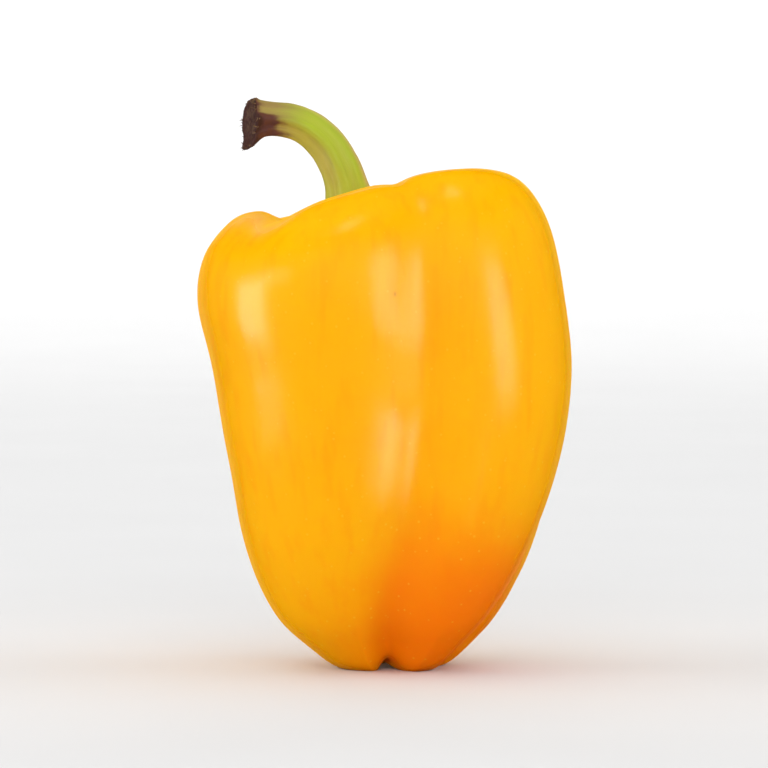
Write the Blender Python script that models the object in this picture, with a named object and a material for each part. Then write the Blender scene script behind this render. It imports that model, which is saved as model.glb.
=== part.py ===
"""A yellow mini sweet pepper, standing on the lobes of its blossom end.

The fruit is one solid. The stem is another, in one piece with the calyx that it grows out of. Both are skins of
rings from pole to pole: the fruit's runs from the bottom of the stem cavity over the shoulders down to the blossom
end, and the stem's from under the calyx, round the calyx's edge and up the stem to its broken end.
Metres, +Z up, the front of the fruit towards -Y, the origin on the surface that it stands on.
Azimuths are in degrees, from the front towards the right.
"""

import math

import bmesh
import bpy
from mathutils import Vector

MM = 0.001

# Driving dimensions of the fruit
FRUIT_STATIONS = (
    # radius, height and shift to the right, mm; turn of the lobes, degrees; share of the lobes and of the shoulders
    (0.0, 52.9, -3.8, 0.0, 0.0, 0.0),
    (4.0, 53.0, -3.7, 0.0, 0.1, 0.0),
    (7.6, 54.4, -3.1, -3.0, 0.4, 0.35),
    (10.8, 56.6, -1.8, -4.0, 0.8, 0.85),
    (14.0, 57.8, -0.9, -1.0, 1.0, 1.0),
    (17.6, 56.6, -0.8, 4.0, 1.0, 1.0),
    (20.7, 52.2, -1.1, 7.0, 1.0, 0.9),
    (22.0, 45.0, -0.3, 5.0, 1.0, 0.4),
    (21.6, 36.0, 1.4, 1.0, 1.0, 0.05),
    (20.2, 26.0, 1.7, -2.0, 1.0, 0.0),
    (17.4, 15.0, 1.2, -7.0, 1.0, 0.0),
    (13.3, 6.6, 0.8, -12.0, 1.0, 0.0),
    (8.3, 1.7, 0.9, -15.0, 1.0, 0.0),
    (5.1, 0.0, 0.8, -16.0, 1.0, 0.0),
    (2.4, 0.5, -0.1, -16.0, 1.0, 0.0),
    (0.0, 1.6, -0.4, -16.0, 1.0, 0.0),
)
LOBES = (  # how far right and forward of the fruit's middle each lobe's own middle lies, and its radius, mm
    (-6.0, 4.2, 16.4),
    (9.0, 6.2, 12.4),
    (7.6, -7.2, 13.2),
    (-7.6, -7.8, 13.6),
)
LOBE_RADIUS = 22.0  # mm, the section radius at which the lobes have the sizes above
ROUND_SHARE = 0.93  # of the section radius, where there are no lobes
FURROW_SHARPNESS = (12.0, 18.0)  # at the shoulders and at the blossom end
SHARPER_BELOW = (30.0, 4.0)  # mm, the heights between which the furrows get sharper
SHOULDER_RISE = (  # azimuth, and how much higher or lower than its station the shoulder stands there, mm
    (0.0, 0.9),
    (22.0, 2.2),
    (52.0, 2.6),
    (95.0, 1.4),
    (140.0, 1.2),
    (180.0, -1.0),
    (225.0, -3.4),
    (262.0, -4.2),
    (288.0, -2.4),
    (312.0, -3.5),
    (335.0, -1.0),
)
SHOULDER_FALL = 0.8  # mm, how much lower the shoulder is at a furrow
SHOULDER_FURROW = (10.0, 0.0)  # narrowness and floor of a furrow's share there
BLOSSOM_RISE = 1.6  # mm, how much higher the blossom end is at a furrow
BLOSSOM_FURROW = (4.5, 0.38)  # narrowness and floor of a furrow's share there
BLOSSOM_HEIGHTS = (14.0, 2.0)  # mm, the heights between which that rise sets in
BLOSSOM_RADII = (0.5, 4.0)  # mm, and the radii between which it sets in from the middle
FOOT_FLAT = 0.2 * MM  # how far the lobes are pressed flat where they stand
FRUIT_SEGMENTS = 64
FRUIT_RINGS = 60
FRUIT_COLOUR = (0.99, 0.47, 0.0)
FRUIT_ROUGHNESS = 0.3

# Driving dimensions of the stem and its calyx
FRUIT_GAP = 0.4 * MM  # clear height between the calyx and the fruit
CALYX_SECTION = (  # radius, and height above the underside, mm, from the middle underneath to the foot of the stem
    (2.0, 0.0),
    (4.0, 0.0),
    (5.4, 0.0),
    (6.3, 0.0),
    (6.6, 0.35),
    (6.3, 0.8),
    (5.6, 0.95),
    (4.7, 1.05),
    (3.9, 1.4),
    (3.4, 2.3),
)
CALYX_EDGE = 6.6  # mm, the radius where the teeth have their whole length
CALYX_TEETH = (  # azimuth and length, mm
    (22.0, 2.0),
    (84.0, 1.5),
    (143.0, 2.1),
    (204.0, 1.6),
    (262.0, 1.9),
    (322.0, 1.7),
)
TOOTH_SPREAD = 9.0  # degrees from a tooth's tip to where it is a third as long
TOOTH_START = 3.3  # mm, the radius where the teeth set in
STEM_STATIONS = (  # right, back and height of the middle of the stem, and its radius, mm
    (-4.0, -0.1, 56.4, 2.8),
    (-4.3, -0.2, 58.2, 2.55),
    (-4.9, -0.4, 60.3, 2.45),
    (-6.0, -0.6, 62.6, 2.35),
    (-7.8, -1.0, 64.5, 2.25),
    (-10.2, -1.8, 65.6, 2.15),
    (-13.0, -2.9, 65.9, 2.05),
    (-15.6, -4.3, 65.6, 2.8),
)
STEM_RIDGES = 6
RIDGE_START = 22.0  # degrees, the azimuth of the first ridge, which runs up from the first tooth
RIDGE_DEPTH = 0.06  # of the stem's radius
STEM_SEGMENTS = 60
STEM_RINGS = 24
STEM_COLOUR = (0.3, 0.4, 0.05)
STEM_ROUGHNESS = 0.55


def smooth_step(low, high, value):
    """0 up to low, 1 from high, and smooth between."""
    t = min(1.0, max(0.0, (value - low) / (high - low)))
    return t * t * (3.0 - 2.0 * t)


def curve_point(a, b, c, d, t):
    """A place between b and c on a smooth curve through a, b, c and d."""
    return b + 0.5 * t * (c - a + t * (2.0 * a - 5.0 * b + 4.0 * c - d + t * (3.0 * (b - c) + d - a)))


def smooth_rows(rows, steps=24):
    """Rows close together on a smooth curve through the given rows."""
    last = len(rows) - 1
    line = []
    for i in range(last):
        four = rows[max(i - 1, 0)], rows[i], rows[i + 1], rows[min(i + 2, last)]
        line.extend([curve_point(*column, step / steps) for column in zip(*four)] for step in range(steps))
    line.append(list(rows[-1]))
    return line


def mixed(start, end, share):
    return [a + (b - a) * share for a, b in zip(start, end)]


def even_rows(line, count):
    """count rows evenly spaced along a line of rows, measured in their first three columns."""
    lengths = [0.0]
    for start, end in zip(line, line[1:]):
        lengths.append(lengths[-1] + math.dist(start[:3], end[:3]))
    rows = []
    at = 0
    for i in range(count):
        wanted = lengths[-1] * i / (count - 1)
        while at < len(line) - 2 and lengths[at + 1] < wanted:
            at += 1
        rows.append(mixed(line[at], line[at + 1], (wanted - lengths[at]) / (lengths[at + 1] - lengths[at])))
    return rows


def row_at(line, value):
    """The row of a line where its first column first reaches a value."""
    at = next(i for i in range(1, len(line)) if line[i][0] >= value)
    return mixed(line[at - 1], line[at], (value - line[at - 1][0]) / (line[at][0] - line[at - 1][0]))


def round_the_clock(rows):
    """Smooth rows of azimuth and value that join up past 0 and 360."""
    before = (rows[-1][0] - 360.0, rows[-1][1])
    after = [(azimuth + 360.0, value) for azimuth, value in rows[:2]]
    return smooth_rows([before, *rows, *after])


SHOULDER_LINE = round_the_clock(SHOULDER_RISE)


def lobe_reaches(azimuth):
    """How far out each lobe comes at an azimuth, as a share of LOBE_RADIUS."""
    side = math.sin(math.radians(azimuth))
    front = math.cos(math.radians(azimuth))
    reaches = []
    for right, forward, radius in LOBES:
        along = right * side + forward * front
        reach = along + math.sqrt(radius ** 2 - right ** 2 - forward ** 2 + along ** 2)
        reaches.append(reach / LOBE_RADIUS)
    return reaches


def lobed_reach(reaches, sharpness):
    """The lobes joined by smooth furrows."""
    return sum(reach ** sharpness for reach in reaches) ** (1.0 / sharpness)


def furrow_share(reaches, narrowness, floor):
    """1 in a furrow, where two lobes reach as far, and 0 inside a lobe, where the share is under the floor."""
    powers = [reach ** narrowness for reach in reaches]
    total = sum(powers)
    share = 2.0 * (1.0 - sum((power / total) ** 2 for power in powers))
    return min(1.0, max(0.0, (share - floor) / (1.0 - floor)))


def fruit_point(station, azimuth):
    """The skin at a station of the fruit's section, turned to an azimuth."""
    radius, height, shift, turn, lobes, shoulders = station
    reaches = lobe_reaches(azimuth - turn)
    low = smooth_step(*SHARPER_BELOW, height)
    sharpness = FURROW_SHARPNESS[0] + (FURROW_SHARPNESS[1] - FURROW_SHARPNESS[0]) * low
    reach = radius * MM * (ROUND_SHARE + (lobed_reach(reaches, sharpness) - ROUND_SHARE) * lobes)
    blossom = smooth_step(*BLOSSOM_HEIGHTS, height) * smooth_step(*BLOSSOM_RADII, radius)
    rise = row_at(SHOULDER_LINE, azimuth % 360.0)[1] - SHOULDER_FALL * furrow_share(reaches, *SHOULDER_FURROW)
    height += rise * shoulders + BLOSSOM_RISE * furrow_share(reaches, *BLOSSOM_FURROW) * blossom
    x = reach * math.sin(math.radians(azimuth)) + shift * MM
    y = -reach * math.cos(math.radians(azimuth))
    return Vector((x, y, max(0.0, height * MM - FOOT_FLAT)))


def skin_of_rings(name, rings, first_pole, last_pole):
    """A closed mesh over rings of points, with a fan to a pole at each end."""
    shape = bmesh.new()
    loops = [[shape.verts.new(point) for point in ring] for ring in rings]
    ends = shape.verts.new(first_pole), shape.verts.new(last_pole)
    count = len(loops[0])
    for upper, lower in zip(loops, loops[1:]):
        for i in range(count):
            j = (i + 1) % count
            shape.faces.new((upper[i], upper[j], lower[j], lower[i]))
    for i in range(count):
        j = (i + 1) % count
        shape.faces.new((ends[0], loops[0][j], loops[0][i]))
        shape.faces.new((ends[1], loops[-1][i], loops[-1][j]))
    bmesh.ops.recalc_face_normals(shape, faces=shape.faces)
    mesh = bpy.data.meshes.new(name)
    shape.to_mesh(mesh)
    shape.free()
    mesh.shade_smooth()
    thing = bpy.data.objects.new(name, mesh)
    bpy.context.scene.collection.objects.link(thing)
    return thing


def paint(thing, name, colour, roughness):
    material = bpy.data.materials.new(name)
    material.use_nodes = True
    shader = material.node_tree.nodes["Principled BSDF"]
    shader.inputs["Base Color"].default_value = (*colour, 1.0)
    shader.inputs["Roughness"].default_value = roughness
    thing.data.materials.append(material)


def azimuths(count):
    return [360.0 * i / count for i in range(count)]


def make_fruit():
    stations = even_rows(smooth_rows(FRUIT_STATIONS), FRUIT_RINGS)
    rings = [[fruit_point(station, azimuth) for azimuth in azimuths(FRUIT_SEGMENTS)] for station in stations[1:-1]]
    fruit = skin_of_rings("fruit", rings, fruit_point(stations[0], 0.0), fruit_point(stations[-1], 0.0))
    paint(fruit, "fruit_skin", FRUIT_COLOUR, FRUIT_ROUGHNESS)


def tooth_reach(azimuth):
    """How far the calyx's nearest tooth comes out at an azimuth, mm."""
    reach = 0.0
    for place, length in CALYX_TEETH:
        away = abs((azimuth - place + 180.0) % 360.0 - 180.0)
        reach = max(reach, length * math.exp(-away / TOOTH_SPREAD))
    return reach


def calyx_point(section, radius, height, azimuth):
    """A point at a height over the bottom of the stem cavity. section is the fruit's."""
    radius += tooth_reach(azimuth) * smooth_step(TOOTH_START, CALYX_EDGE, radius)
    return fruit_point(row_at(section, radius), azimuth) + Vector((0.0, 0.0, height * MM + FRUIT_GAP + FOOT_FLAT))


def stem_ring(middle, along, radius):
    """A ridged ring square to the stem."""
    right = along.cross(Vector((0.0, -1.0, 0.0))).normalized()
    front = right.cross(along)
    ring = []
    for azimuth in azimuths(STEM_SEGMENTS):
        turn = math.radians(azimuth)
        reach = radius * (1.0 + RIDGE_DEPTH * math.cos(STEM_RIDGES * math.radians(azimuth - RIDGE_START)))
        ring.append(middle + (front * math.cos(turn) + right * math.sin(turn)) * reach)
    return ring


def make_stem():
    section = smooth_rows(FRUIT_STATIONS)
    rings = []
    for radius, height in CALYX_SECTION:
        rings.append([calyx_point(section, radius, height, azimuth) for azimuth in azimuths(STEM_SEGMENTS)])
    stations = even_rows(smooth_rows(STEM_STATIONS), STEM_RINGS)
    middles = [Vector(station[:3]) * MM for station in stations]
    last = len(stations) - 1
    for i, station in enumerate(stations):
        along = (middles[min(i + 1, last)] - middles[max(i - 1, 0)]).normalized()
        rings.append(stem_ring(middles[i], along, station[3] * MM))
    stem = skin_of_rings("stem", rings, calyx_point(section, 0.0, 0.0, 0.0), middles[-1])
    paint(stem, "stem_green", STEM_COLOUR, STEM_ROUGHNESS)


def main():
    for thing in list(bpy.data.objects):
        bpy.data.objects.remove(thing)
    make_fruit()
    make_stem()


if __name__ == "__main__":
    main()
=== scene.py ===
import math

import bpy
import numpy as np
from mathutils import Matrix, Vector


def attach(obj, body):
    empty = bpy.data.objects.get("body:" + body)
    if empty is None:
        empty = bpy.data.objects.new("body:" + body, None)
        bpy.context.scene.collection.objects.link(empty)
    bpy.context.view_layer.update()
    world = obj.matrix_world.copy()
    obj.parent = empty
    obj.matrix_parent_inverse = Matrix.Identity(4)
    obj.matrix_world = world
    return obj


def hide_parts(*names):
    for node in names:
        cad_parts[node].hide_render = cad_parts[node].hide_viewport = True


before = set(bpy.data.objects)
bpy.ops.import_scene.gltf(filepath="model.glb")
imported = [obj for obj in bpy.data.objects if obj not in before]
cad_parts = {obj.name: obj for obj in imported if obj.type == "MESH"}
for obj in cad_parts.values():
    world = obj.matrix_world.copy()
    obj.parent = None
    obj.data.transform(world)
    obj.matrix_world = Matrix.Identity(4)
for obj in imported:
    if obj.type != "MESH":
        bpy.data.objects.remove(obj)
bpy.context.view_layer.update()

# The fruit: the ripe body of a mini sweet pepper, yellow flesh under a thin waxy skin. It grew as one piece,
# with four lobes. A section from the stem cavity over the shoulders to the blossom end is turned round the
# middle and swollen into the lobes. Azimuths are in degrees, from the front towards the right.
MM = 0.001
FRUIT_STATIONS = (
    # radius, height and shift to the right, mm; turn of the lobes, degrees; share of lobes and shoulders
    (0.0, 52.9, -3.8, 0.0, 0.0, 0.0),
    (4.0, 53.0, -3.7, 0.0, 0.1, 0.0),
    (7.6, 54.4, -3.1, -3.0, 0.4, 0.35),
    (10.8, 56.6, -1.8, -4.0, 0.8, 0.85),
    (14.0, 57.8, -0.9, -1.0, 1.0, 1.0),
    (17.6, 56.6, -0.8, 4.0, 1.0, 1.0),
    (20.7, 52.2, -1.1, 7.0, 1.0, 0.9),
    (22.0, 45.0, -0.3, 5.0, 1.0, 0.4),
    (21.6, 36.0, 1.4, 1.0, 1.0, 0.05),
    (20.2, 26.0, 1.7, -2.0, 1.0, 0.0),
    (17.4, 15.0, 1.2, -7.0, 1.0, 0.0),
    (13.3, 6.6, 0.8, -12.0, 1.0, 0.0),
    (8.3, 1.7, 0.9, -15.0, 1.0, 0.0),
    (5.1, 0.0, 0.8, -16.0, 1.0, 0.0),
    (2.4, 0.5, -0.1, -16.0, 1.0, 0.0),
    (0.0, 1.6, -0.4, -16.0, 1.0, 0.0),
)
STATION_COLUMNS = ("radius", "height", "shift", "turn", "lobes", "shoulders")
LOBES = (  # how far right and forward of the fruit's middle each lobe's own middle lies, and its radius, mm
    (-6.0, 4.2, 16.4),
    (9.0, 6.2, 12.4),
    (7.6, -7.2, 13.2),
    (-7.6, -7.8, 13.6),
)
SHOULDER_RISE = (  # azimuth, and how much higher or lower than its station the shoulder stands there, mm
    (0.0, 0.9),
    (22.0, 2.2),
    (52.0, 2.6),
    (95.0, 1.4),
    (140.0, 1.2),
    (180.0, -1.0),
    (225.0, -3.4),
    (262.0, -4.2),
    (288.0, -2.4),
    (312.0, -3.5),
    (335.0, -1.0),
)
FRUIT_SIZES = {  # the inputs of the tree that gives the fruit its form
    "Lobe radius": 22.0,  # mm, the section radius at which the lobes have the sizes above
    "Round share": 0.93,  # of the section radius, where there are no lobes
    "Furrow sharpness at the shoulders": 12.0,
    "Furrow sharpness at the blossom end": 18.0,
    "Shoulder fall": 0.8,  # mm, how much lower the shoulder is at a furrow
    "Blossom rise": 1.6,  # mm, how much higher the blossom end is at a furrow
    "Foot flat": 0.2,  # mm, how far the lobes are pressed flat where they stand
    "Dents": 0.55,  # mm, depth of the broad unevenness of a grown thing
    "Dent width": 17.0,  # mm
    "Dimples": 0.05,  # mm
    "Dimple width": 3.2,  # mm
    "Scar": 0.35,  # mm, height of the corky scar in the middle of the blossom end
}
LOW_HEIGHTS = (30.0, 4.0)  # mm, over which the furrows change from the shoulders' to the blossom end's
BLOSSOM_HEIGHTS = (14.0, 2.0)  # mm, over which the blossom end's furrows rise
BLOSSOM_RADII = (0.5, 4.0)  # mm, and from its middle outwards
SHOULDER_FURROW = (10.0, 0.0)  # narrowness and floor of the furrow's share
BLOSSOM_FURROW = (4.5, 0.38)
STANDING_HEIGHTS = (0.3, 4.0)  # mm, over which the unevenness grows, so that the feet stay flat
SCAR_RADII = (1.1, 0.4)  # mm, over which the scar rises
SCAR_HEIGHTS = (3.0, 2.0)  # mm, which leave the scar out of the stem cavity
FRUIT_SEGMENTS = 360
FRUIT_RINGS = 270


def smooth_rows(rows, steps=24):
    """Rows close together on a smooth curve through the given rows."""
    rows = np.array(rows, float)
    ends = np.vstack((rows[:1], rows, rows[-1:]))
    t = np.linspace(0.0, 1.0, steps, endpoint=False)[:, None]
    spans = []
    for a, b, c, d in zip(ends, ends[1:], ends[2:], ends[3:]):
        bend = 2.0 * a - 5.0 * b + 4.0 * c - d + t * (3.0 * (b - c) + d - a)
        spans.append(b + 0.5 * t * (c - a + t * bend))
    return np.vstack((*spans, rows[-1:]))


def even_rows(line, count):
    """count rows evenly spaced along a line of rows, measured in their first three columns."""
    steps = np.linalg.norm(np.diff(line[:, :3], axis=0), axis=1)
    lengths = np.concatenate(([0.0], np.cumsum(steps)))
    wanted = np.linspace(0.0, lengths[-1], count)
    return np.column_stack([np.interp(wanted, lengths, column) for column in line.T])


def round_the_clock(rows, azimuths):
    """The value at each azimuth, on a smooth line through rows of azimuth and value that joins up at 360."""
    before = (rows[-1][0] - 360.0, rows[-1][1])
    after = [(azimuth + 360.0, value) for azimuth, value in rows[:2]]
    line = smooth_rows([before, *rows, *after])
    return np.interp(azimuths, line[:, 0], line[:, 1])


def sleeve(name, by_row, by_column):
    """A closed skin of rings between two poles, not yet in shape: each point only carries its row's and its
    column's values. The first and the last row are the poles."""
    rows = len(next(iter(by_row.values())))
    columns = len(next(iter(by_column.values())))
    inner = rows - 2
    first, last = 0, inner * columns + 1
    ring = np.arange(columns)
    after = (ring + 1) % columns
    upper = (1 + np.arange(inner - 1)[:, None] * columns + ring).ravel()
    upper_after = (1 + np.arange(inner - 1)[:, None] * columns + after).ravel()
    quads = np.column_stack((upper, upper + columns, upper_after + columns, upper_after))
    low = last - columns
    faces = quads.tolist()
    faces += [(first, 1 + i, 1 + j) for i, j in zip(ring.tolist(), after.tolist())]
    faces += [(last, low + j, low + i) for i, j in zip(ring.tolist(), after.tolist())]
    mesh = bpy.data.meshes.new(name)
    mesh.from_pydata(np.zeros((last + 1, 3)), [], faces)
    row = np.concatenate(([0], np.repeat(np.arange(1, inner + 1), columns), [rows - 1]))
    column = np.concatenate(([0], np.tile(ring, inner), [0]))
    for values, place in ((by_row, row), (by_column, column)):
        for label, numbers in values.items():
            numbers = np.asarray(numbers, np.float32)[place]
            if numbers.ndim == 2:
                attribute = mesh.attributes.new(label, "FLOAT_VECTOR", "POINT")
                attribute.data.foreach_set("vector", numbers.ravel())
            else:
                attribute = mesh.attributes.new(label, "FLOAT", "POINT")
                attribute.data.foreach_set("value", numbers)
    thing = bpy.data.objects.new(name, mesh)
    bpy.context.scene.collection.objects.link(thing)
    return thing


class Value:
    """A value in a node tree. Reckoning with it adds Math nodes, so that a rule reads as on paper."""

    def __init__(self, tree, socket):
        self.tree = tree
        self.socket = socket

    def math(self, operation, *others):
        return reckon(self.tree, operation, self, *others)

    def __add__(self, other):
        return self.math("ADD", other)

    def __radd__(self, other):
        return self.math("ADD", other)

    def __sub__(self, other):
        return self.math("SUBTRACT", other)

    def __rsub__(self, other):
        return reckon(self.tree, "SUBTRACT", other, self)

    def __mul__(self, other):
        return self.math("MULTIPLY", other)

    def __rmul__(self, other):
        return self.math("MULTIPLY", other)

    def __truediv__(self, other):
        return self.math("DIVIDE", other)

    def __rtruediv__(self, other):
        return reckon(self.tree, "DIVIDE", other, self)

    def __pow__(self, other):
        return self.math("POWER", other)

    def between(self, low, high):
        """0 up to low, 1 from high, and smooth between. Falls instead where high is the lower one."""
        node = add(self.tree, "ShaderNodeMapRange", {"Value": self, "From Min": low, "From Max": high},
                   interpolation_type="SMOOTHSTEP")
        return Value(self.tree, node.outputs["Result"])


def plug(tree, value, socket):
    """Links a value to a socket, or sets the socket to a plain number, colour or vector."""
    if isinstance(value, Value):
        tree.links.new(value.socket, socket)
    else:
        socket.default_value = value


def add(tree, kind, inputs, **settings):
    """A node with its settings, and its inputs by name or by place."""
    node = tree.nodes.new(kind)
    for setting, choice in settings.items():
        setattr(node, setting, choice)
    open_sockets = {socket.name: socket for socket in reversed(node.inputs) if socket.enabled}
    for place, value in inputs.items():
        plug(tree, value, node.inputs[place] if isinstance(place, int) else open_sockets[place])
    return node


def reckon(tree, operation, *values):
    node = add(tree, "ShaderNodeMath", dict(enumerate(values)), operation=operation)
    return Value(tree, node.outputs[0])


def vector(tree, operation, *values):
    """The vector that an operation gives, or the number where it gives one."""
    node = add(tree, "ShaderNodeVectorMath", dict(enumerate(values)), operation=operation)
    return Value(tree, next(output for output in node.outputs if output.enabled))


def scaled(tree, direction, length):
    node = add(tree, "ShaderNodeVectorMath", {0: direction, "Scale": length}, operation="SCALE")
    return Value(tree, node.outputs[0])


def combined(tree, x, y, z):
    return Value(tree, add(tree, "ShaderNodeCombineXYZ", {0: x, 1: y, 2: z}).outputs[0])


def noise(tree, place, width, detail=2.0):
    """Noise between 0 and 1 with lumps about that wide, in metres."""
    node = add(tree, "ShaderNodeTexNoise", {"Vector": place, "Scale": 1.0 / width, "Detail": detail})
    return Value(tree, node.outputs[0])


def form_tree(name, sizes):
    """A geometry tree with an input for each size and for the material, and the values of its inputs."""
    tree = bpy.data.node_groups.new(name, "GeometryNodeTree")
    tree.interface.new_socket("Geometry", in_out="INPUT", socket_type="NodeSocketGeometry")
    tree.interface.new_socket("Material", in_out="INPUT", socket_type="NodeSocketMaterial")
    tree.interface.new_socket("Geometry", in_out="OUTPUT", socket_type="NodeSocketGeometry")
    kinds = {bpy.types.Object: "NodeSocketObject", Vector: "NodeSocketVector", float: "NodeSocketFloat"}
    for label, size in sizes.items():
        tree.interface.new_socket(label, in_out="INPUT", socket_type=kinds[type(size)])
    group = tree.nodes.new("NodeGroupInput")
    return tree, {output.name: Value(tree, output) for output in group.outputs if output.name}


def carried(tree, name, kind="FLOAT"):
    """A value that the points carry."""
    node = add(tree, "GeometryNodeInputNamedAttribute", {"Name": name}, data_type=kind)
    return Value(tree, node.outputs["Attribute"])


def geometry(node):
    return Value(node.id_data, node.outputs[0])


def stored(tree, shape, name, value, kind="FLOAT"):
    """The shape with one more value on its points, for its material to read."""
    inputs = {"Geometry": shape, "Name": name, "Value": value}
    return geometry(add(tree, "GeometryNodeStoreNamedAttribute", inputs, data_type=kind))


def moved(tree, shape, **how):
    """The shape with its points at Position, or moved by Offset."""
    return geometry(add(tree, "GeometryNodeSetPosition", {"Geometry": shape, **how}))


def skin_out(tree):
    """The direction that the skin faces at each point."""
    return Value(tree, tree.nodes.new("GeometryNodeInputNormal").outputs[0])


def place_in_space(tree):
    return Value(tree, tree.nodes.new("GeometryNodeInputPosition").outputs[0])


def finish_tree(tree, shape, material):
    real = geometry(add(tree, "GeometryNodeRealizeInstances", {0: shape}))
    dressed = geometry(add(tree, "GeometryNodeSetMaterial", {"Geometry": real, "Material": material}))
    plug(tree, dressed, tree.nodes.new("NodeGroupOutput").inputs[0])


def grow(thing, tree, sizes, material, kept):
    """Turns the tree's result into the thing's own plain mesh, with only the kept values on its points."""
    modifier = thing.modifiers.new(tree.name, "NODES")
    modifier.node_group = tree
    given = {**sizes, "Material": material}
    for item in tree.interface.items_tree:
        if item.in_out == "INPUT" and item.name in given:
            modifier[item.identifier] = given[item.name]
    now = bpy.context.evaluated_depsgraph_get()
    grown = thing.evaluated_get(now)
    mesh = bpy.data.meshes.new_from_object(grown, preserve_all_data_layers=True, depsgraph=now)
    thing.modifiers.clear()
    rough = thing.data
    thing.data = mesh
    bpy.data.meshes.remove(rough)
    mesh.name = thing.name
    for name in [a.name for a in mesh.attributes if not a.is_required and not a.is_internal]:
        if name not in (*kept, "material_index", "sharp_face"):
            mesh.attributes.remove(mesh.attributes[name])
    mesh.shade_smooth()


def furrow_share(reaches, narrowness, floor):
    """1 in a furrow, where two lobes reach as far, and 0 where the share is under the floor."""
    powers = [reach ** narrowness for reach in reaches]
    total = sum(powers)
    share = 2.0 * (1.0 - sum((power / total) ** 2.0 for power in powers))
    return ((share - floor) / (1.0 - floor)).math("MAXIMUM", 0.0)


lobe_sizes = {}
for number, (right, forward, radius) in enumerate(LOBES, 1):
    lobe_sizes[f"Lobe {number} right"] = right
    lobe_sizes[f"Lobe {number} forward"] = forward
    lobe_sizes[f"Lobe {number} radius"] = radius
fruit_sizes = {**FRUIT_SIZES, **lobe_sizes}

tree, size = form_tree("pepper fruit", fruit_sizes)
radius, height, shift, turn, lobes, shoulders = (carried(tree, column) for column in STATION_COLUMNS)
azimuth = carried(tree, "azimuth")
turned = (azimuth - turn).math("RADIANS")
side = turned.math("SINE")
front = turned.math("COSINE")
reaches = []
for number in range(1, len(LOBES) + 1):
    right, forward, lobe_radius = (size[f"Lobe {number} {word}"] for word in ("right", "forward", "radius"))
    along = right * side + forward * front
    out = along + (lobe_radius ** 2.0 - right ** 2.0 - forward ** 2.0 + along ** 2.0).math("SQRT")
    reaches.append(out / size["Lobe radius"])
low = height.between(*LOW_HEIGHTS)
sharp = size["Furrow sharpness at the shoulders"]
sharpness = sharp + (size["Furrow sharpness at the blossom end"] - sharp) * low
lobed = sum(reach ** sharpness for reach in reaches) ** (1.0 / sharpness)
reach = radius * (size["Round share"] + (lobed - size["Round share"]) * lobes)
blossom = height.between(*BLOSSOM_HEIGHTS) * radius.between(*BLOSSOM_RADII)
shoulder_furrow = furrow_share(reaches, *SHOULDER_FURROW)
rise = carried(tree, "rise") - size["Shoulder fall"] * shoulder_furrow
blossom_rise = size["Blossom rise"] * furrow_share(reaches, *BLOSSOM_FURROW) * blossom
top = height + rise * shoulders + blossom_rise
turn_out = azimuth.math("RADIANS")
place = combined(tree, (reach * turn_out.math("SINE") + shift) * MM, reach * turn_out.math("COSINE") * -MM,
                 (top - size["Foot flat"]).math("MAXIMUM", 0.0) * MM)
skin = moved(tree, size["Geometry"], Position=place)
spot = place_in_space(tree)
off_floor = top.between(*STANDING_HEIGHTS)
dents = noise(tree, spot, size["Dent width"] * MM, 1.0) * size["Dents"]
dimples = noise(tree, spot, size["Dimple width"] * MM, 1.0) * size["Dimples"]
scar = radius.between(*SCAR_RADII) * height.between(*SCAR_HEIGHTS)
inward = (dents + dimples) * off_floor - scar * size["Scar"]
skin = moved(tree, skin, Offset=scaled(tree, skin_out(tree), inward * -MM))
skin = stored(tree, skin, "furrow", shoulder_furrow * lobes)
skin = stored(tree, skin, "scar", scar)
finish_tree(tree, skin, size["Material"])


def texture_place(tree):
    return Value(tree, tree.nodes.new("ShaderNodeTexCoord").outputs["Object"])


def from_points(tree, name):
    """A number that the points of the piece carry, in its material."""
    node = add(tree, "ShaderNodeAttribute", {}, attribute_name=name)
    return Value(tree, node.outputs["Fac"])


def colour_mix(tree, share, start, end):
    node = add(tree, "ShaderNodeMix", {"Factor": share}, data_type="RGBA")
    for place, colour in ((6, start), (7, end)):
        plug(tree, colour if isinstance(colour, Value) else (*colour, 1.0), node.inputs[place])
    return Value(tree, node.outputs[2])


def bump(tree, height, distance, strength=1.0, under=None):
    """The skin's direction with a relief whose height from 0 to 1 stands for that distance in metres."""
    inputs = {"Height": height, "Distance": distance, "Strength": strength}
    if under is not None:
        inputs["Normal"] = under
    return Value(tree, add(tree, "ShaderNodeBump", inputs).outputs[0])


def finish(name, **constants):
    """A material whose shader has these constants, and its node tree and shader."""
    material = bpy.data.materials.new(name)
    material.use_nodes = True
    shader = material.node_tree.nodes["Principled BSDF"]
    for label, value in constants.items():
        shader.inputs[label.replace("_", " ")].default_value = value
    return material, material.node_tree, shader


GOLD = (0.96, 0.44, 0.0)
AMBER = (0.93, 0.20, 0.0)
SUN_GOLD = (0.97, 0.50, 0.0)
SCAR_BROWN = (0.16, 0.07, 0.02)
PORE_YELLOW = (0.98, 0.60, 0.05)
BLEMISH_BROWN = (0.22, 0.05, 0.01)
PAINTED_SHADE_REACH = (0.0262, 0.002)  # metres from the middle of the painted shade and painted red reflection, over which they fade
RIPE_PATCHES = 0.014  # width of the patches that ripen sooner or later than the rest
RIPE_PATCH_SHARE = 0.5  # how much of the ripening the patches change
# how much painted shade deepens the orange in the furrows
FURROW_SHADE_SHARE = 0.18
SUN_HEIGHTS = (0.040, 0.060)  # metres, over which the skin turns to the sun's yellow
STREAK_WIDTH = 0.0016
STREAK_STRETCH = (1.0, 1.0, 0.12)  # makes the streaks run up the fruit
PORE_SPACING = 0.0013
PORE_EDGE = (0.16, 0.06)  # share of the spacing
BLEMISH_STRETCH = (1.0, 0.5, 0.6)  # makes the scratch longer than it is wide
BLEMISH_EDGE = (0.0006, 0.0003)
BLEMISH_FRAY = 0.0003
SKIN_RELIEF = 0.00002
PLAIN_ROUGHNESS = 0.19
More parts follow.
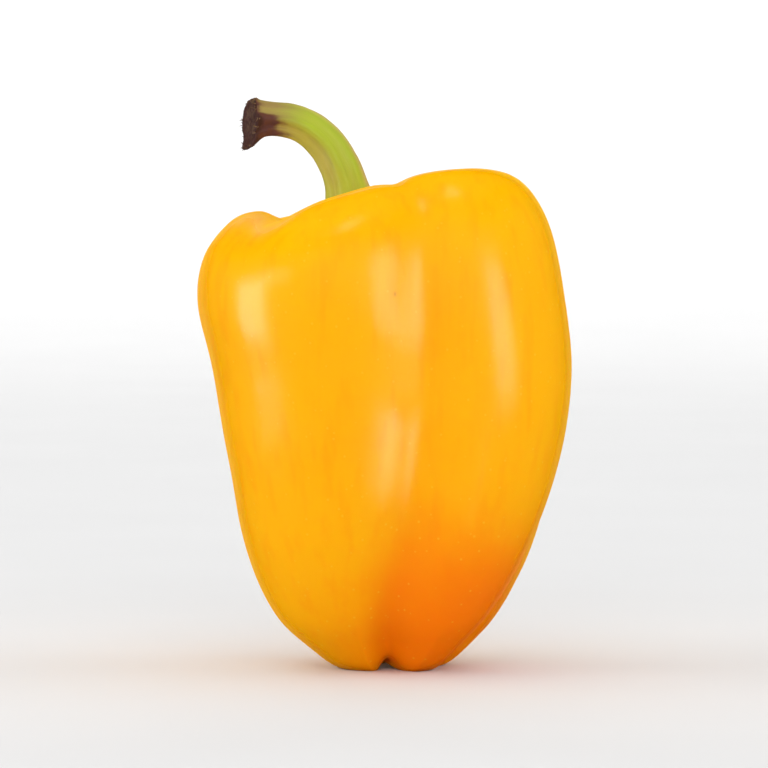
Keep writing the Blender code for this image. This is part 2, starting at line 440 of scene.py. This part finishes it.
GLANCING = (0.6, 0.9)  # Layer Weight's facing, over which the skin's gloss goes soft
PAINTED_SHADE_MIDDLE = (0.0115, -0.010, 0.003)  # the middle of the painted shade and painted reflection of red light, low on the right
BLEMISH = (0.0012, -0.0187, 0.0454)  # the one small healed scratch, on the front
material, tree, shader = finish(
    "waxy yellow skin", Subsurface_Weight=0.35, Subsurface_Radius=(1.0, 0.45, 0.08), Subsurface_Scale=0.0025,
    Subsurface_Anisotropy=0.3, Specular_Tint=(1.0, 0.85, 0.5, 1.0), IOR=1.45)
spot = texture_place(tree)
high = Value(tree, add(tree, "ShaderNodeSeparateXYZ", {0: spot}).outputs["Z"])
# Deeper orange low on the right is painted shade with a painted reflection of red light; the random patches
# are the skin's own uneven tone.
from_painted_shade = vector(tree, "DISTANCE", spot, PAINTED_SHADE_MIDDLE)
ripeness_and_painted_shade = from_painted_shade.between(*PAINTED_SHADE_REACH)
ripeness_and_painted_shade = ripeness_and_painted_shade + noise(tree, spot, RIPE_PATCHES, 3.0) * RIPE_PATCH_SHARE - RIPE_PATCH_SHARE / 2.0
# Deeper orange in the furrows is painted shade.
ripeness_and_painted_shade = ripeness_and_painted_shade + from_points(tree, "furrow") * FURROW_SHADE_SHARE
colour = colour_mix(tree, ripeness_and_painted_shade.between(-0.1, 1.05), GOLD, AMBER)
colour = colour_mix(tree, high.between(*SUN_HEIGHTS) * 0.5, colour, SUN_GOLD)
streaks = noise(tree, vector(tree, "MULTIPLY", spot, STREAK_STRETCH), STREAK_WIDTH, 2.0)
colour = colour_mix(tree, streaks.between(0.45, 0.75) * 0.16, colour, AMBER)
pores = add(tree, "ShaderNodeTexVoronoi", {"Vector": spot, "Scale": 1.0 / PORE_SPACING})
pores = Value(tree, pores.outputs["Distance"]).between(*PORE_EDGE)
colour = colour_mix(tree, pores * 0.35, colour, PORE_YELLOW)
blemish = vector(tree, "DISTANCE", vector(tree, "MULTIPLY", spot, BLEMISH_STRETCH),
                 Vector(BLEMISH) * Vector(BLEMISH_STRETCH))
blemish = (blemish + streaks * BLEMISH_FRAY).between(*BLEMISH_EDGE)
colour = colour_mix(tree, blemish, colour, BLEMISH_BROWN)
colour = colour_mix(tree, from_points(tree, "scar"), colour, SCAR_BROWN)
plug(tree, colour, shader.inputs["Base Color"])
glancing = Value(tree, add(tree, "ShaderNodeLayerWeight", {}).outputs["Facing"]).between(*GLANCING)
roughness = noise(tree, spot, 0.004, 3.0) * 0.08 + PLAIN_ROUGHNESS + glancing * 0.5
plug(tree, roughness, shader.inputs["Roughness"])
relief = bump(tree, noise(tree, spot, 0.0011, 2.0) + streaks - pores * 0.4, SKIN_RELIEF)
plug(tree, relief, shader.inputs["Normal"])

stations = even_rows(smooth_rows(FRUIT_STATIONS), FRUIT_RINGS)
fruit_azimuths = np.arange(FRUIT_SEGMENTS) * 360.0 / FRUIT_SEGMENTS
fruit = sleeve("pepper_fruit", dict(zip(STATION_COLUMNS, stations.T)),
               {"azimuth": fruit_azimuths, "rise": round_the_clock(SHOULDER_RISE, fruit_azimuths)})
grow(fruit, bpy.data.node_groups["pepper fruit"], fruit_sizes, material, ("furrow", "scar"))
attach(fruit, "root")
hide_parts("fruit")

# The stem: the stalk that the fruit hung from, with its calyx, the cap of six joined sepals in the stem
# cavity. It is tough green tissue, with a lengthwise rib from each tooth of the calyx. It grew as one piece
# with the fruit, and was broken off the plant at its far end, which has dried dark.
CALYX_SECTION = (  # radius, and height over the fruit's skin, mm, from underneath to the foot of the stalk
    (0.0, -0.15),
    (2.0, -0.15),
    (4.0, -0.15),
    (5.4, -0.12),
    (6.1, 0.0),
    (6.35, 0.3),
    (6.1, 0.66),
    (5.4, 1.05),
    (4.5, 1.35),
    (3.8, 1.8),
    (3.35, 2.7),
)
CAVITY_MIDDLE = (-3.7, 0.0, 80.0)  # mm right, back and up: a place above the middle of the stem cavity
CALYX_TEETH = (  # azimuth and length, mm
    (22.0, 2.0),
    (84.0, 1.5),
    (143.0, 2.1),
    (204.0, 1.6),
    (262.0, 1.9),
    (322.0, 1.7),
)
TOOTH_SPREAD = 9.0  # degrees from a tooth's tip to where it is a third as long
STALK_STATIONS = (  # right, back and height of the middle of the stalk, and its radius, mm
    (-4.2, -0.1, 56.4, 2.7),
    (-4.6, -0.2, 58.2, 2.45),
    (-5.4, -0.4, 60.3, 2.4),
    (-6.7, -0.6, 62.5, 2.35),
    (-8.6, -1.0, 64.3, 2.25),
    (-10.9, -1.6, 65.4, 2.15),
    (-13.7, -2.4, 65.7, 2.1),
    (-16.3, -3.3, 65.4, 2.7),
)
END_SECTION = (  # share of the radius, and how far beyond the last station, mm, over the broken end
    (1.0, 0.0),
    (0.95, 0.22),
    (0.84, 0.2),
    (0.7, -0.1),
    (0.5, -0.4),
    (0.25, -0.55),
    (0.0, -0.6),
)
STEM_SIZES = {  # the inputs of the tree that gives the stem its form, lengths in mm
    "Tooth start": 3.1,
    "Tooth end": 6.2,
    "Ribs": 6.0,
    "First rib": 22.0,  # degrees
    "Rib twist": 14.0,  # degrees along the stalk
    "Rib height": 0.36,
    "Calyx rib height": 0.45,
    "Streak height": 0.16,
    "Streak width": 0.75,
    "Lump height": 0.14,
    "Lump width": 2.2,
    "Raggedness": 1.1,
    "End slant": 0.5,  # how much further the broken end reaches on its lower side
    "Flap droop": 0.7,  # the torn lip that hangs from the lower side of the broken end
    "Flap length": 0.5,
}
CALYX_RIB_POWER = 7.0  # the higher, the narrower the rib
STALK_RIB_POWER = 1.8
EDGE_EASING = 40  # rounds of smoothing where the stalk grows out of the calyx
GRAIN_RADIUS = 2.3  # mm, at which the grain's first two values lie round the stalk
RAG_RADIUS = 1.1  # mm, the same for the ragged end
SLANT_RADIUS = 2.75  # mm, at which the slant is the whole one
LONGEST_TOOTH = max(length for place, length in CALYX_TEETH)
STEM_SEGMENTS = 240
CALYX_RINGS = 84
STALK_RINGS = 150
END_RINGS = 22


def tooth_lengths(azimuths):
    """How far the calyx's nearest tooth comes out at each azimuth, mm."""
    reach = np.zeros(len(azimuths))
    for place, length in CALYX_TEETH:
        away = np.abs((azimuths - place + 180.0) % 360.0 - 180.0)
        reach = np.maximum(reach, length * np.exp(-away / TOOTH_SPREAD))
    return reach


def unit(rows):
    return rows / np.linalg.norm(rows, axis=1)[:, None]


def stem_rows():
    """The rings of the stem, from under the calyx, round its edge, up the stalk and over its end."""
    calyx = even_rows(smooth_rows(CALYX_SECTION), CALYX_RINGS)
    stalk = even_rows(smooth_rows(STALK_STATIONS), STALK_RINGS)
    end = even_rows(smooth_rows(END_SECTION), END_RINGS)[1:]
    edge = calyx[:, 0].argmax()
    ahead = unit(np.gradient(stalk[:, :3], axis=0))
    middle = np.vstack((np.tile(CAVITY_MIDDLE, (CALYX_RINGS, 1)), stalk[:, :3],
                        stalk[-1, :3] + ahead[-1] * end[:, 1:2]))
    up = np.tile((0.0, 0.0, 1.0), (CALYX_RINGS, 1))
    ahead = np.vstack((up, ahead, np.tile(ahead[-1], (len(end), 1))))
    right = unit(np.cross(ahead, (0.0, -1.0, 0.0)))
    # -1 to 0 under the calyx, to 1 over it, to 2 up the stalk, and to 3 over the broken end
    steps = (edge, CALYX_RINGS - edge - 1, STALK_RINGS, len(end))
    along = np.concatenate([[-1.0], *(np.linspace(start, start + 1.0, count + 1)[1:]
                                      for start, count in zip((-1.0, 0.0, 1.0, 2.0), steps))])
    return {
        "radius": np.concatenate((calyx[:, 0], stalk[:, 3], stalk[-1, 3] * end[:, 0])),
        "height": np.concatenate((calyx[:, 1], np.zeros(STALK_RINGS + len(end)))),
        "middle": middle * MM,
        "ahead": ahead,
        "right": right,
        "front": np.cross(right, ahead),
        "along": along,
    }


tree, size = form_tree("pepper stem", {**STEM_SIZES, "Fruit": fruit})
radius, height, azimuth, along = (carried(tree, name) for name in ("radius", "height", "azimuth", "along"))
vectors = (carried(tree, name, "FLOAT_VECTOR") for name in ("middle", "ahead", "right", "front"))
middle, ahead, right, front = vectors
turn_out = azimuth.math("RADIANS")
sine = turn_out.math("SINE")
cosine = turn_out.math("COSINE")
is_stalk = along.math("GREATER_THAN", 1.0)
tooth = carried(tree, "tooth") * radius.between(size["Tooth start"], size["Tooth end"])
reach = (radius + tooth * (1.0 - is_stalk)) * MM
out = vector(tree, "ADD", scaled(tree, right, sine), scaled(tree, front, cosine))
ring = vector(tree, "ADD", middle, scaled(tree, out, reach))
fruit_skin = add(tree, "GeometryNodeObjectInfo", {"Object": size["Fruit"]}).outputs["Geometry"]
ray = add(tree, "GeometryNodeRaycast", {"Target Geometry": Value(tree, fruit_skin), "Source Position": ring,
                                        "Ray Direction": (0.0, 0.0, -1.0), "Ray Length": 0.1})
skin_point = Value(tree, ray.outputs["Hit Position"])
skin_normal = Value(tree, ray.outputs["Hit Normal"])
on_fruit = vector(tree, "ADD", skin_point, scaled(tree, skin_normal, height * MM))
mixed = add(tree, "ShaderNodeMix", {"Factor": is_stalk, 4: on_fruit, 5: ring}, data_type="VECTOR")
shape = moved(tree, size["Geometry"], Position=Value(tree, mixed.outputs[1]))
foot = along.between(0.72, 0.95) * along.between(1.16, 1.04)
eased = add(tree, "GeometryNodeBlurAttribute", {"Value": place_in_space(tree), "Iterations": EDGE_EASING,
                                                "Weight": foot}, data_type="FLOAT_VECTOR")
shape = moved(tree, shape, Position=Value(tree, eased.outputs[0]))
stalk_share = along.between(0.9, 1.3)
up_the_stalk = (along - 1.0).math("MAXIMUM", 0.0)
twisted = (azimuth - size["First rib"] - size["Rib twist"] * up_the_stalk).math("RADIANS")
wave = (twisted * size["Ribs"] * 0.5).math("COSINE").math("ABSOLUTE")
rib = wave ** (CALYX_RIB_POWER - stalk_share * (CALYX_RIB_POWER - STALK_RIB_POWER))
calyx_share = along.between(0.02, 0.35) * (1.0 - stalk_share)
rib_height = size["Calyx rib height"] * calyx_share + size["Rib height"] * stalk_share
round_place = combined(tree, cosine * GRAIN_RADIUS * MM, sine * GRAIN_RADIUS * MM, along * 1.6 * MM)
streak = noise(tree, round_place, size["Streak width"] * MM, 2.0) - 0.5
lump = noise(tree, place_in_space(tree), size["Lump width"] * MM, 2.0) - 0.5
outside = along.between(0.0, 0.12) * along.between(2.1, 1.98)
raised = (rib - 0.45) * rib_height + streak * size["Streak height"] + lump * size["Lump height"]
shape = moved(tree, shape, Offset=scaled(tree, skin_out(tree), raised * outside * MM))
rag_place = combined(tree, cosine * RAG_RADIUS * MM, sine * RAG_RADIUS * MM, along * 0.2 * MM)
rag = noise(tree, rag_place, 0.9 * MM, 3.0) * along.between(1.9, 2.02) * along.between(2.75, 2.2)
slant = sine * radius / SLANT_RADIUS * along.between(1.8, 2.0) * size["End slant"]
flap = sine.between(-0.55, -1.0) * along.between(1.88, 2.0) * along.between(2.5, 2.15)
onward = flap * size["Flap length"] - rag * size["Raggedness"] - slant
shape = moved(tree, shape, Offset=scaled(tree, ahead, onward * MM))
shape = moved(tree, shape, Offset=scaled(tree, out, flap * size["Flap droop"] * MM))
shape = stored(tree, shape, "rib", rib * outside)
grain = combined(tree, cosine * GRAIN_RADIUS * MM, sine * GRAIN_RADIUS * MM, along * 1.8 * MM)
shape = stored(tree, shape, "grain", grain, "FLOAT_VECTOR")
shape = stored(tree, shape, "tip", tooth / LONGEST_TOOTH)
finish_tree(tree, shape, size["Material"])


def vector_from_points(tree, name):
    node = add(tree, "ShaderNodeAttribute", {}, attribute_name=name)
    return Value(tree, node.outputs["Vector"])


STALK_GREEN = (0.36, 0.47, 0.02)
STALK_OLIVE = (0.44, 0.41, 0.055)
STALK_TAN_AND_RIM_HIGHLIGHT = (0.58, 0.42, 0.13)
NECK_TAN = (0.30, 0.20, 0.06)
COLLAR_GREEN = (0.46, 0.50, 0.05)
CALYX_GREEN = (0.19, 0.28, 0.03)
MARGIN_OLIVE = (0.22, 0.18, 0.05)
DRIED_BROWN = (0.12, 0.042, 0.024)
DRIED_PURPLE = (0.10, 0.038, 0.032)
DRIED_BLACK = (0.055, 0.020, 0.013)
PITH = (0.20, 0.12, 0.06)
GRAIN_WIDTH = 0.0007
BLOTCH_WIDTH = 0.0016
SPECK_WIDTH = 0.0004
GRAIN_RELIEF = 0.00012
SPECK_RELIEF = 0.00003
material, tree, shader = finish(
    "dried green stalk", Subsurface_Weight=0.12, Subsurface_Radius=(0.6, 1.0, 0.2), Subsurface_Scale=0.0008,
    Specular_IOR_Level=0.25, IOR=1.45)
spot = texture_place(tree)
along = from_points(tree, "along")
rib = from_points(tree, "rib")
grain = vector_from_points(tree, "grain")
around = add(tree, "ShaderNodeSeparateXYZ", {0: grain})
outer = Value(tree, around.outputs["Y"]) / (GRAIN_RADIUS * MM)  # 1 on the outside of the stalk's bend
facing = Value(tree, around.outputs["X"]) / (GRAIN_RADIUS * MM)  # 1 on the side towards the front
streaks = noise(tree, grain, GRAIN_WIDTH, 3.0)
blotches = noise(tree, spot, BLOTCH_WIDTH, 3.0)
specks = noise(tree, spot, SPECK_WIDTH, 2.0)
colour = colour_mix(tree, outer.between(-0.7, 0.4), STALK_OLIVE, STALK_GREEN)
colour = colour_mix(tree, along.between(1.3, 1.0) * 0.6, colour, COLLAR_GREEN)
# The pale tan line along the outside of the stalk's bend is partly tan rib colour and partly a painted rim
# highlight.
colour = colour_mix(tree, outer.between(0.72, 0.98) * along.between(1.9, 1.6) * 0.85, colour, STALK_TAN_AND_RIM_HIGHLIGHT)
colour = colour_mix(tree, along.between(1.56, 1.86) * (0.4 + streaks), colour, NECK_TAN)
calyx = colour_mix(tree, along.between(0.45, 0.8), CALYX_GREEN, COLLAR_GREEN)
calyx = colour_mix(tree, along.between(0.55, 0.1) * blotches.between(0.3, 0.6), calyx, MARGIN_OLIVE)
colour = colour_mix(tree, along.between(0.85, 1.05), calyx, colour)
colour = colour_mix(tree, streaks.between(0.52, 0.78) * 0.22, colour, MARGIN_OLIVE)
colour = colour_mix(tree, rib * 0.15, colour, STALK_TAN_AND_RIM_HIGHLIGHT)
dried_tip = (from_points(tree, "tip") * 1.3 + (streaks - 0.5) * 0.5).between(0.3, 0.75)
colour = colour_mix(tree, dried_tip, colour, DRIED_BROWN)
underside = outer.between(0.4, -0.6) * 0.19 + facing.between(0.93, 1.0) * 0.12
dark = (along + (streaks + blotches - 1.0) * 0.2 + underside).between(1.88, 2.02)
dried = colour_mix(tree, blotches.between(0.4, 0.6), DRIED_BROWN, DRIED_PURPLE)
colour = colour_mix(tree, dark, colour, dried)
black = (along + (blotches - 0.5) * 0.3 + underside * 0.3).between(1.97, 2.06)
colour = colour_mix(tree, black, colour, DRIED_BLACK)
pith = along.between(2.2, 2.6) * specks.between(0.4, 0.7)
colour = colour_mix(tree, pith * 0.35, colour, PITH)
plug(tree, colour, shader.inputs["Base Color"])
plug(tree, streaks * 0.2 + dark * 0.2 + 0.38, shader.inputs["Roughness"])
relief = bump(tree, streaks, GRAIN_RELIEF)
relief = bump(tree, specks, SPECK_RELIEF, 0.8, relief)
plug(tree, relief, shader.inputs["Normal"])

stem_azimuths = np.arange(STEM_SEGMENTS) * 360.0 / STEM_SEGMENTS
stem = sleeve("pepper_stem", stem_rows(), {"azimuth": stem_azimuths, "tooth": tooth_lengths(stem_azimuths)})
grow(stem, bpy.data.node_groups["pepper stem"], {**STEM_SIZES, "Fruit": fruit}, material,
     ("along", "rib", "tip", "grain"))
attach(stem, "root")
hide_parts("stem")

# The torn fibres: where the stalk was broken off the plant, its toughest strands tore later than the rest.
# They are the stalk's own tissue, and stand out of the broken end's rim as short, dry, tapered bristles.
FIBRE_SIZES = {
    "Fibres per square mm": 7.0,
    "Fibre length": 0.7,  # mm, of the longest
    "Shortest share": 0.3,
    "Fibre radius": 0.055,  # mm, at the root
    "Root depth": 0.1,  # mm, that it is sunk into the stalk
    "Lean outwards": 0.55,
    "Lean at random": 0.5,
    "Bend": 0.5,  # mm, at most
}
RIM = (1.985, 2.2)  # how far along the stem the rim of the broken end starts and stops
ROOT_SEED = 11
LEAN_SEED = 3
LENGTH_SEED = 5
tree, size = form_tree("torn fibres", {**FIBRE_SIZES, "Stalk": stem, "Stalk direction": Vector()})
stalk = Value(tree, add(tree, "GeometryNodeObjectInfo", {"Object": size["Stalk"]}).outputs["Geometry"])
along = carried(tree, "along")
rim = along.math("GREATER_THAN", RIM[0]) * along.math("LESS_THAN", RIM[1])
roots = add(tree, "GeometryNodeDistributePointsOnFaces", {
    "Mesh": stalk, "Selection": rim, "Seed": ROOT_SEED, "Density": size["Fibres per square mm"] / MM ** 2})
root_normal = Value(tree, roots.outputs["Normal"])
astray = add(tree, "FunctionNodeRandomValue", {0: (-1.0, -1.0, -1.0), 1: (1.0, 1.0, 1.0), "Seed": LEAN_SEED},
             data_type="FLOAT_VECTOR")
lean = vector(tree, "ADD", size["Stalk direction"], scaled(tree, root_normal, size["Lean outwards"]))
lean = vector(tree, "ADD", lean, scaled(tree, Value(tree, astray.outputs[0]), size["Lean at random"]))
heading = add(tree, "FunctionNodeAlignRotationToVector", {"Vector": lean}, axis="Z")
chance = add(tree, "FunctionNodeRandomValue", {2: size["Shortest share"], 3: 1.0, "Seed": LENGTH_SEED},
             data_type="FLOAT")
length = Value(tree, chance.outputs[1])
bristle = add(tree, "GeometryNodeMeshCone", {"Vertices": 5, "Side Segments": 4, "Radius Top": 0.0,
                                             "Radius Bottom": size["Fibre radius"] * MM,
                                             "Depth": (size["Fibre length"] + size["Root depth"]) * MM})
bristle = moved(tree, geometry(bristle), Offset=combined(tree, 0.0, 0.0, size["Root depth"] * -MM))
fibres = add(tree, "GeometryNodeInstanceOnPoints", {
    "Points": geometry(roots), "Instance": bristle, "Rotation": Value(tree, heading.outputs[0]),
    "Scale": combined(tree, 1.0, 1.0, length)})
real = geometry(add(tree, "GeometryNodeRealizeInstances", {0: geometry(fibres)}))
bend = (noise(tree, place_in_space(tree), 1.3 * MM, 1.0) - 0.5) * size["Bend"] * MM
real = moved(tree, real, Offset=combined(tree, bend, bend * -0.8, bend))
finish_tree(tree, real, size["Material"])

FIBRE_BROWN = (0.07, 0.035, 0.02)
FIBRE_TAN = (0.22, 0.13, 0.06)
material, tree, shader = finish("dry torn fibre", Roughness=0.75, Specular_IOR_Level=0.2)
spot = texture_place(tree)
plug(tree, colour_mix(tree, noise(tree, spot, 0.0009, 2.0).between(0.35, 0.65), FIBRE_BROWN, FIBRE_TAN),
     shader.inputs["Base Color"])
plug(tree, bump(tree, noise(tree, spot, 0.0001, 1.0), 0.00001), shader.inputs["Normal"])
fibre_mesh = bpy.data.meshes.new("pepper_stem_fibres")
fibres = bpy.data.objects.new("pepper_stem_fibres", fibre_mesh)
bpy.context.scene.collection.objects.link(fibres)
stalk_end = unit(np.gradient(even_rows(smooth_rows(STALK_STATIONS), STALK_RINGS)[:, :3], axis=0))[-1]
grow(fibres, bpy.data.node_groups["torn fibres"],
     {**FIBRE_SIZES, "Stalk": stem, "Stalk direction": Vector(stalk_end)}, material, ())
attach(fibres, "root")
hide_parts("stem")

# The floor: one pale seamless sheet, which rises into a backdrop all round, so that every view has the same
# ground. It glows a little far from the pepper, where the lamps reach it less.
FLOOR_SECTION = (  # radius and height, m
    (0.0, 0.0),
    (0.3, 0.0),
    (0.6, 0.0),
    (0.85, 0.01),
    (1.1, 0.06),
    (1.35, 0.2),
    (1.52, 0.45),
    (1.6, 0.9),
)
FLOOR_SEGMENTS = 96
FLOOR_GREY = (0.73, 0.73, 0.73)
FLOOR_LIGHT_GREY = (0.76, 0.76, 0.76)
PATCH_WIDTH = 0.05
GLOW_RADII = (0.5, 1.5)
GLOW = 0.25
section = smooth_rows(FLOOR_SECTION, 8)
turns = np.arange(FLOOR_SEGMENTS) * 2.0 * math.pi / FLOOR_SEGMENTS
points = [(0.0, 0.0, 0.0)]
points += [(r * math.cos(a), r * math.sin(a), z) for r, z in section[1:] for a in turns]
faces = [(0, 1 + i, 1 + (i + 1) % FLOOR_SEGMENTS) for i in range(FLOOR_SEGMENTS)]
for ring in range(len(section) - 2):
    start = 1 + ring * FLOOR_SEGMENTS
    for i in range(FLOOR_SEGMENTS):
        j = (i + 1) % FLOOR_SEGMENTS
        faces.append((start + i, start + FLOOR_SEGMENTS + i, start + FLOOR_SEGMENTS + j, start + j))
mesh = bpy.data.meshes.new("pale_floor")
mesh.from_pydata(points, [], faces)
mesh.shade_smooth()
floor = bpy.data.objects.new("pale_floor", mesh)
bpy.context.scene.collection.objects.link(floor)
material, tree, shader = finish("pale floor", Roughness=0.9, Specular_IOR_Level=0.0,
                                Emission_Color=(1.0, 1.0, 1.0, 1.0))
spot = texture_place(tree)
plug(tree, colour_mix(tree, noise(tree, spot, PATCH_WIDTH, 2.0), FLOOR_GREY, FLOOR_LIGHT_GREY),
     shader.inputs["Base Color"])
plug(tree, vector(tree, "LENGTH", spot).between(*GLOW_RADII) * GLOW, shader.inputs["Emission Strength"])
floor.data.materials.append(material)
floor.visible_glossy = False

# The light of a studio: five wide boxes, over the pepper and round it, give the even light, and leave no
# highlight. Seven small cards near the pepper light the gloss alone: an L of two on the left, a tall one on
# the right, a small one low at the front, two behind, and one over the front. The room itself is dark.
PEPPER_MIDDLE = (0.0, 0.0, 0.034)
WHITE = (1.0, 1.0, 1.0)
BLUISH = (1.0, 1.1, 1.6)  # makes up for the yellow tint of the skin's gloss
SOFT_BOXES = (
    # name, azimuth; distance, height, width and height of the face, m; power, W
    ("overhead_box", 0.0, 0.05, 1.1, 1.8, 1.8, 11.0),
    ("front_box", 0.0, 1.1, 0.5, 1.2, 0.7, 5.8),
    ("left_box", -90.0, 1.1, 0.5, 1.2, 0.7, 5.3),
    ("right_box", 90.0, 1.1, 0.6, 1.2, 0.7, 3.6),
    ("back_box", 180.0, 1.1, 0.6, 1.2, 0.7, 4.6),
)
GLOSS_CARDS = (
    ("left_top_card", -60.0, 0.09, 0.061, 0.080, 0.016, 0.0068),
    ("left_low_card", -66.0, 0.09, 0.034, 0.036, 0.046, 0.027),
    ("right_card", 39.0, 0.30, 0.071, 0.10, 0.142, 0.19),
    ("low_card", 19.0, 0.055, 0.011, 0.015, 0.018, 0.0006),
    ("back_card", -165.0, 0.34, 0.25, 0.2, 0.15, 0.04),
    ("rear_card", 182.0, 0.30, 0.05, 0.12, 0.10, 0.14),
    ("front_spot_card", 6.0, 0.28, 0.45, 0.1, 0.1, 0.08),
)
LOW_CARD_AIM = (-0.013, -0.02, 0.026)  # the swelling left of the front furrow
LOW_CARD_SPREAD = 50.0  # degrees


def area_lamp(name, azimuth, distance, height, wide, tall, power):
    """A lamp at an azimuth, a distance from the pepper's middle line and a height, facing the pepper."""
    lamp = bpy.data.lights.new(name, "AREA")
    lamp.shape = "RECTANGLE"
    lamp.size = wide
    lamp.size_y = tall
    lamp.energy = power
    thing = bpy.data.objects.new(name, lamp)
    turn = math.radians(azimuth)
    thing.location = (distance * math.sin(turn), -distance * math.cos(turn), height)
    aim_at(thing, PEPPER_MIDDLE)
    thing.visible_camera = False
    bpy.context.scene.collection.objects.link(thing)
    return thing


def aim_at(thing, place):
    thing.rotation_euler = (thing.location - Vector(place)).to_track_quat("Z", "Y").to_euler()


for row in SOFT_BOXES:
    box = area_lamp(*row)
    box.data.color = WHITE
    box.visible_glossy = False
for row in GLOSS_CARDS:
    card = area_lamp(*row)
    card.data.color = BLUISH
    card.visible_diffuse = False
low_card = bpy.data.objects["low_card"]
low_card.data.spread = math.radians(LOW_CARD_SPREAD)
aim_at(low_card, LOW_CARD_AIM)
world = bpy.data.worlds.new("dark_room")
world.use_nodes = True
world.node_tree.nodes["Background"].inputs["Strength"].default_value = 0.0
bpy.context.scene.world = world
bpy.context.scene.view_settings.view_transform = "Standard"

# The camera: in front, a little above the middle of the pepper, and low enough for the front shoulder to
# hide the calyx.
CAMERA_ELEVATION = 3.0
CAMERA_DISTANCE = 0.6
FRAME_WIDTH = 0.092  # metres of the pepper's own plane that the square picture shows
SENSOR_WIDTH = 36.0
lens = bpy.data.cameras.new("camera")
lens.sensor_width = SENSOR_WIDTH
lens.lens = SENSOR_WIDTH * CAMERA_DISTANCE / FRAME_WIDTH
camera = bpy.data.objects.new("camera", lens)
lift = math.radians(CAMERA_ELEVATION)
camera.location = Vector(PEPPER_MIDDLE) + CAMERA_DISTANCE * Vector((0.0, -math.cos(lift), math.sin(lift)))
camera.rotation_euler = (math.pi / 2 - lift, 0.0, 0.0)
bpy.context.scene.collection.objects.link(camera)
bpy.context.scene.camera = camera
